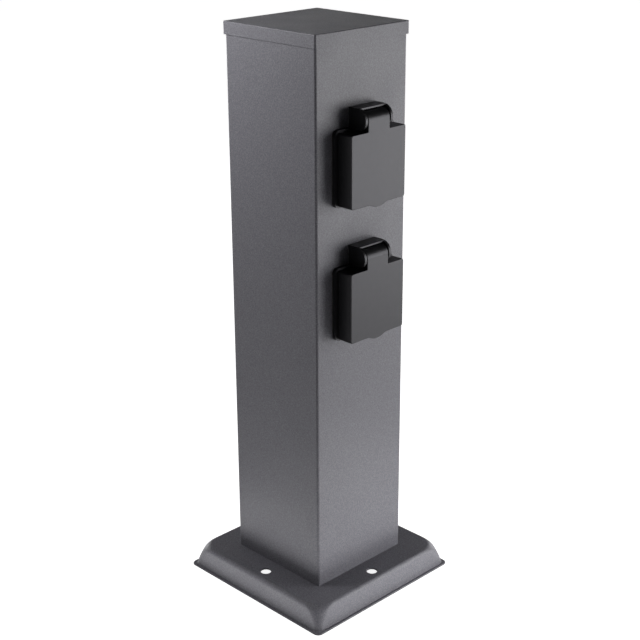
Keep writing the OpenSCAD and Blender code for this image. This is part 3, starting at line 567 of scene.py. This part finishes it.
for socket in sockets:
    buildScrews(socket, screwForm)
print("frame screws cut")

# Lids: a shallow tray with a finger lip, a tongue, two knuckles and a hood over the spring; x runs across,
# depth out of the post's face and up from the lid's middle, in millimetres; lipRows are inset, depth from the
# front plate's inside and share of the lip; rimRows are inset and depth from the wall's rim
lidForm = {"width": 48.0, "height": 46.2, "front": 14.4, "face": 2.2, "wall": 2.0, "back": 2.9, "corner": 1.5,
           "leastCorner": 0.2, "cornerSteps": 8, "edge": 0.45, "edgeSteps": 6,
           "lipWidth": 19.0, "lipSlant": 8.5, "lipDrop": 2.1, "lipSteps": 33,
           "lipRows": ((0, 0.3, 1), (0.04, 0.05, 0.97), (0, 0, 0.9), (0, -0.02, 0)),
           "rimRows": ((0, 0.3), (0.09, 0.09), (0.3, 0)),
           "sideEnd": 21, "sideMiddle": 15, "sideSteps": 4, "notchGap": 0.02, "notchDepth": 0.2,
           "tongue": 19.0, "tongueRoot": 1.5, "tongueThinner": 0.02, "tongueProud": 0.015, "tongueSteps": 6,
           "knuckle": 6.0, "knuckleSteps": 72, "pinOut": 8.4, "pinUp": 29.6, "bore": 1.55,
           "hoodHalf": 4.8, "hoodWall": 1.6, "hoodOver": 0.05, "hoodEdge": 0.12, "hoodEdgeSteps": 3,
           "hoodFrom": -88, "hoodTo": 90, "hoodSteps": 37,
           "ringMiddle": 19.6, "ringWidth": 1.8, "ringBack": 9.3, "ringSunk": 0.1, "ringSteps": 96,
           "tolerance": 1e-9}


def trayRings(look):
    # rows of inset and depth over the front edge, down the wall, round its rim and up inside; the lip drops
    # the lower side by a smooth bump in the rows of the front plate; under the tongue the wall is notched and
    # the front plate keeps a square edge, so that it runs on into the tongue
    edge, front, wall, back = look["edge"], look["front"], look["wall"], look["back"]
    inside = front - look["face"]
    turn = np.linspace(0, np.pi / 2, look["edgeSteps"])
    frontEdge = [edge - edge * np.sin(turn), front - edge + edge * np.cos(turn), np.ones(len(turn))]
    lipEdge = np.array(look["lipRows"]) + (0, inside, 0)
    outerRim = [(shift, back + lift, 0) for shift, lift in look["rimRows"]]
    innerRim = [(wall - shift, back + lift, 0) for shift, lift in look["rimRows"][::-1]]
    rows = np.concatenate([np.column_stack(frontEdge), lipEdge, outerRim, innerRim, [(wall, inside, 0)]])
    inset, depth, lip = rows.T
    halfX, halfY = look["width"] / 2 - inset, look["height"] / 2 - inset
    tongue, gap, lipHalf = look["tongue"] / 2, look["notchGap"], look["lipWidth"] / 2
    sideEnd, sideMiddle, sideSteps = look["sideEnd"], look["sideMiddle"], look["sideSteps"]
    topX = np.concatenate([np.linspace(-sideEnd, -tongue - gap, sideSteps),
                           np.linspace(-tongue, tongue, look["tongueSteps"]),
                           np.linspace(tongue + gap, sideEnd, sideSteps)])
    bottomX = np.concatenate([[-sideEnd, -sideMiddle], np.linspace(-lipHalf, lipHalf, look["lipSteps"]),
                              [sideMiddle, sideEnd]])
    corner = np.clip(look["corner"] - inset, look["leastCorner"], None)
    outline = roundedOutline(halfX, halfY, corner, look["cornerSteps"], topX, bottomX)
    x, up = outline[..., 0], outline[..., 1]
    rise = np.clip((lipHalf - np.abs(x)) / look["lipSlant"], 0, 1)
    onBottom = np.abs(up + halfY[:, None]) < look["tolerance"]
    up = up - onBottom * lip[:, None] * look["lipDrop"] * rise * rise * (3 - 2 * rise)
    inNotch = (np.abs(up - halfY[:, None]) < look["tolerance"]) & (np.abs(x) < tongue + gap / 2)
    inFront = inNotch & (np.arange(len(rows)) < look["edgeSteps"] - 1)[:, None]
    depth = np.where(inNotch, np.maximum(depth[:, None], inside - look["notchDepth"]), depth[:, None])
    depth = np.where(inFront, front, depth)
    up = np.where(inFront, look["height"] / 2, up)
    return np.stack([x, depth, up], -1)


def tongueRings(look):
    # a flat bar with round edges, from inside the front plate up to the pin's height
    half = look["face"] / 2
    thick = half - look["tongueThinner"]
    outline = roundedOutline([look["tongue"] / 2], [thick], [look["edge"]], look["edgeSteps"])[0]
    levels = np.array([look["height"] / 2 - look["tongueRoot"], look["pinUp"]])
    x = np.broadcast_to(outline[None, :, 0], (2, len(outline)))
    depth = np.broadcast_to(outline[None, :, 1] + look["front"] - half + look["tongueProud"], x.shape)
    return np.stack([x, depth, np.broadcast_to(levels[:, None], x.shape)], -1)


def knuckleRings(look, hand):
    # radius against distance across, turned about the pin: bore, outer end, round edge, outside, inner end
    bore, outer, edge, end = look["bore"], look["knuckle"], look["edge"], look["tongue"] / 2
    turn = np.linspace(0, np.pi / 2, look["edgeSteps"])
    radius = np.concatenate([[bore, bore], outer - edge + edge * np.sin(turn), [outer]])
    across = np.concatenate([[look["hoodHalf"], end], end - edge + edge * np.cos(turn), [look["hoodHalf"]]])
    centre = (0, look["pinOut"], look["pinUp"])
    return turnedRings(radius, across * hand, centre, (1, 0, 0), look["knuckleSteps"])


def hoodRings(look):
    # a thin bar carried round the front half of the knuckle between its two rings
    half = look["hoodWall"] / 2
    across = look["hoodHalf"] + look["hoodOver"]
    outline = roundedOutline([across], [half], [look["hoodEdge"]], look["hoodEdgeSteps"])[0]
    angle = np.radians(np.linspace(look["hoodFrom"], look["hoodTo"], look["hoodSteps"]))[:, None]
    reach = np.broadcast_to(look["knuckle"] - half + outline[None, :, 1], (len(angle), len(outline)))
    x = np.broadcast_to(outline[None, :, 0], reach.shape)
    return np.stack([x, look["pinOut"] + reach * np.cos(angle), look["pinUp"] + reach * np.sin(angle)], -1)


def carrierRings(look):
    # a rectangle turned about the socket's axis: the ring inside the lid that carries its seal
    half, middle, back = look["ringWidth"] / 2, look["ringMiddle"], look["ringBack"]
    radius = [middle - half, middle + half, middle + half, middle - half]
    inside = look["front"] - look["face"] + look["ringSunk"]
    return turnedRings(radius, [back, back, inside, inside], (0, 0, 0), (0, 1, 0), look["ringSteps"])


# Lid seals: soft rings with a rounded front
sealForm = {"straight": 1.1, "crown": 0.9, "crownSteps": 11, "steps": 96}


def sealRings(look, lid):
    # radius against depth, turned about the socket's axis: half an ellipse on a straight foot
    half, middle, back = lid["ringWidth"] / 2, lid["ringMiddle"], lid["ringBack"]
    turn = np.linspace(0, np.pi, look["crownSteps"])
    radius = np.concatenate([middle + half * np.cos(turn), [middle - half, middle + half]])
    depth = np.concatenate([back - look["straight"] - look["crown"] * np.sin(turn), [back, back]])
    return turnedRings(radius, depth, (0, 0, 0), (0, 1, 0), look["steps"])


# Springs: round wire wound about the pin, with a leg on the lid and one on the frame
springForm = {"wire": 0.4, "coil": 3.2, "turns": 5, "pitch": 1.3, "startAngle": 40, "endAngle": 160,
              "lidLeg": 1.955, "frameLeg": 4.777, "stepsPerTurn": 30, "sides": 12}


def springRings(look, lid):
    # helix x = pitch*turn, (depth, up) = coil*(cos, sin), with straight legs along its two end tangents; each
    # ring of wire stands square to the path
    whole = 360 * look["turns"] + look["endAngle"] - look["startAngle"]
    steps = int(whole / 360 * look["stepsPerTurn"]) + 1
    angle = np.radians(look["startAngle"] + np.linspace(0, whole, steps))
    length = look["pitch"] * whole / 360
    coil = np.column_stack([np.linspace(-length / 2, length / 2, len(angle)), look["coil"] * np.cos(angle),
                            look["coil"] * np.sin(angle)])
    along = np.column_stack([np.zeros(len(angle)), -np.sin(angle), np.cos(angle)])
    lidEnd = coil[0] - look["lidLeg"] * along[0]
    frameEnd = coil[-1] + look["frameLeg"] * along[-1]
    path = np.concatenate([[lidEnd], coil, [frameEnd]])
    ahead = np.gradient(path, axis=0)
    ahead /= np.linalg.norm(ahead, axis=1)[:, None]
    side = np.cross(ahead, [1.0, 0, 0])
    side /= np.linalg.norm(side, axis=1)[:, None]
    across = np.cross(ahead, side)
    turn = np.linspace(0, 2 * np.pi, look["sides"], endpoint=False)[None, :, None]
    rings = path[:, None] + look["wire"] * (np.cos(turn) * side[:, None] + np.sin(turn) * across[:, None])
    return rings + np.array([0, lid["pinOut"], lid["pinUp"]])


def atSocket(points, level):
    # turns x, depth and up into the shared frame, for a lid whose middle is at the given height
    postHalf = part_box("post_tube")[1].x
    return np.stack([-points[..., 0] * mm, -postHalf - points[..., 1] * mm, level + points[..., 2] * mm], -1)


def buildLid(socket, look, seal, spring):
    hinge = next(joint for joint in frame["joints"] if joint["child"] == socket + "_lid")
    level = hinge["pos_m"][2] - look["pinUp"] * mm
    shells = [(trayRings(look), "capped"), (tongueRings(look), "capped"), (knuckleRings(look, 1), "loop"),
              (knuckleRings(look, -1), "loop"), (hoodRings(look), "capped"), (carrierRings(look), "loop")]
    mesh = sheetMesh(socket + "Lid", [(atSocket(rings, level), ends) for rings, ends in shells])
    flatFaces(addPiece(socket + "Lid", mesh, "black_plastic", socket + "_lid", socket + "_lid"))
    sealMesh = sheetMesh(socket + "Seal", [(atSocket(sealRings(seal, look), level), "loop")])
    addPiece(socket + "Seal", sealMesh, "black_rubber", socket + "_lid", socket + "_lid_seal")
    springMesh = sheetMesh(socket + "Spring", [(atSocket(springRings(spring, look), level), "capped")])
    addPiece(socket + "Spring", springMesh, "spring_steel", "post", socket + "_lid_spring")


for socket in sockets:
    buildLid(socket, lidForm, sealForm, springForm)
print("lids, seals and springs made")

# Post: a folded square tube with tight bends and the sockets' holes in its front
postFold = {"wall": 1.2, "bend": 1.5, "innerBend": 0.3, "cornerSteps": 8, "panelHole": 22.0, "screwHole": 3.1,
            "cutDepth": 4, "cutOver": 1, "holeSteps": 72}


def buildPost(look, lid):
    # a square with small round corners carried up the outside, over the top, down the inside and back
    low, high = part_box("post_tube")
    half, bottom, top = high.x / mm, low.z / mm, high.z / mm
    inner = half - look["wall"]
    profile = np.array([(half, bottom, look["bend"]), (half, top, look["bend"]),
                        (inner, top, look["innerBend"]), (inner, bottom, look["innerBend"])])
    mesh = sheetMesh("postTube", [(squareRings(profile, look["cornerSteps"]), "loop")])
    holes = []
    for joint in frame["joints"]:
        holes.append((look["panelHole"], (joint["pos_m"][0], 0, joint["pos_m"][2] - lid["pinUp"] * mm)))
        screws = loosePlaces(joint["child"].replace("_lid", "_frame_screws"), 1)
        holes += [(look["screwHole"] / 2, (place[0], 0, place[2])) for place in screws]
    depth = np.array([half - look["cutDepth"], half + look["cutOver"]]) * mm
    cutters = []
    for radius, centre in holes:
        rings = turnedRings([radius * mm] * 2, depth, centre, (0, -1, 0), look["holeSteps"])
        cutters.append(sheetMesh("holeCutter", [(rings, "capped")]))
    flatFaces(addPiece("postTube", cutHoles(mesh, cutters), "powder_coat", "post", "post_tube"))


buildPost(postFold, lidForm)
print("post folded and punched")

# Floor and light: metres and strengths; skyStart and skyRise are the upward part of a ray's direction
studio = {"floorHalf": 6.0, "floorColour": (0.8, 0.8, 0.8),
          "nearGlow": 0.9, "farGlow": 1, "nearReach": 0.3, "farReach": 0.9,
          "skyLevel": 0.01, "skyLow": 1.0, "skyHigh": 0.03, "skyStart": 0.22, "skyRise": 0.25}
softboxes = [
    # name, place, size in metres, watts, point aimed at
    ("rightSoftbox", (0.5, -0.54, 0.23), (0.46, 0.46), 4.05, (0, 0, 0.2)),
    ("leftHighSoftbox", (-0.207, 0.155, 0.462), (0.12, 0.1), 0.88, (-0.04, 0, 0.35)),
    ("rightFloorPanel", (0.16, -0.24, 0.003), (0.3, 0.2), 0.15, (0.16, -0.24, 1)),
    ("leftFloorStrip", (-0.088, 0.01, 0.001), (0.03, 0.2), 0.058, (-0.088, 0.01, 1)),
    ("rightFloorStrip", (0.01, -0.088, 0.001), (0.2, 0.03), 0.04, (0.01, -0.088, 1)),
    ("leftLowStrip", (-0.14, 0.02, 0.035), (0.02, 0.2), 0.019, (-0.04, 0, 0.05)),
    ("rightLowStrip", (0.02, -0.14, 0.035), (0.2, 0.02), 0.061, (0, -0.04, 0.05)),
    ("backRightSoftbox", (1.2, 0.1, 0.25), (0.5, 0.5), 4, (0, 0, 0.2)),
    ("backLeftSoftbox", (0.1, 1.2, 0.25), (0.5, 0.5), 4, (0, 0, 0.2)),
]


def backgroundRays(tree):
    # 1 for what the camera sees, and for what glossy and clear pieces show of it
    path = tree.nodes.new("ShaderNodeLightPath")
    shown = path.outputs["Is Camera Ray"]
    for kind in ("Is Glossy Ray", "Is Transmission Ray"):
        either = tree.nodes.new("ShaderNodeMath")
        either.operation = "MAXIMUM"
        tree.links.new(shown, either.inputs[0])
        tree.links.new(path.outputs[kind], either.inputs[1])
        shown = either.outputs[0]
    return shown


def mixSeen(tree, hidden, shown, outputKind):
    # the shown shader is what the background rays meet, and the hidden one is for all other light
    seen = tree.nodes.new("ShaderNodeMixShader")
    out = tree.nodes.new(outputKind)
    tree.links.new(backgroundRays(tree), seen.inputs[0])
    tree.links.new(hidden.outputs[0], seen.inputs[1])
    tree.links.new(shown.outputs[0], seen.inputs[2])
    tree.links.new(seen.outputs[0], out.inputs[0])


def buildFloor(look):
    half = look["floorHalf"]
    corners = [(-half, -half, 0), (half, -half, 0), (half, half, 0), (-half, half, 0)]
    mesh = bpy.data.meshes.new("paleFloor")
    mesh.from_pydata(corners, [], [(0, 1, 2, 3)])
    floor = bpy.data.objects.new("paleFloor", mesh)
    bpy.context.scene.collection.objects.link(floor)
    material = bpy.data.materials.new("paleFloor")
    material.use_nodes = True
    tree = material.node_tree
    tree.nodes.clear()
    paper = tree.nodes.new("ShaderNodeBsdfDiffuse")
    paper.inputs["Color"].default_value = (*look["floorColour"], 1)
    # the paper shows white far from the post and glows a little less near it, where a faint shadow can show
    coords = tree.nodes.new("ShaderNodeTexCoord")
    reach = tree.nodes.new("ShaderNodeVectorMath")
    reach.operation = "LENGTH"
    tree.links.new(coords.outputs["Object"], reach.inputs[0])
    distance = reach.outputs["Value"]
    level = addRange(tree, distance, look["nearGlow"], look["farGlow"], look["nearReach"], look["farReach"])
    glow = tree.nodes.new("ShaderNodeEmission")
    tree.links.new(level, glow.inputs["Strength"])
    both = tree.nodes.new("ShaderNodeAddShader")
    tree.links.new(paper.outputs[0], both.inputs[0])
    tree.links.new(glow.outputs[0], both.inputs[1])
    mixSeen(tree, paper, both, "ShaderNodeOutputMaterial")
    mesh.materials.append(material)


def buildSky(look):
    world = bpy.data.worlds.new("studioSky")
    bpy.context.scene.world = world
    world.use_nodes = True
    tree = world.node_tree
    tree.nodes.clear()
    dim = tree.nodes.new("ShaderNodeBackground")
    dim.inputs["Strength"].default_value = look["skyLevel"]
    # the backdrop is white at the floor and dims upwards, above what a level camera sees
    rise = tree.nodes.new("ShaderNodeSeparateXYZ")
    tree.links.new(tree.nodes.new("ShaderNodeTexCoord").outputs["Generated"], rise.inputs["Vector"])
    white = tree.nodes.new("ShaderNodeBackground")
    white.inputs["Color"].default_value = (1, 1, 1, 1)
    height = rise.outputs["Z"]
    level = addRange(tree, height, look["skyLow"], look["skyHigh"], look["skyStart"], look["skyRise"])
    tree.links.new(level, white.inputs["Strength"])
    mixSeen(tree, dim, white, "ShaderNodeOutputWorld")


def addSoftbox(name, place, size, watts, aim):
    data = bpy.data.lights.new(name, "AREA")
    data.shape = "RECTANGLE"
    data.size, data.size_y = size
    data.energy = watts
    lamp = bpy.data.objects.new(name, data)
    lamp.location = place
    lamp.rotation_euler = (Vector(aim) - Vector(place)).to_track_quat("-Z", "Y").to_euler()
    lamp.visible_camera = False
    bpy.context.scene.collection.objects.link(lamp)


buildFloor(studio)
buildSky(studio)
for softbox in softboxes:
    addSoftbox(*softbox)
print("studio lit")
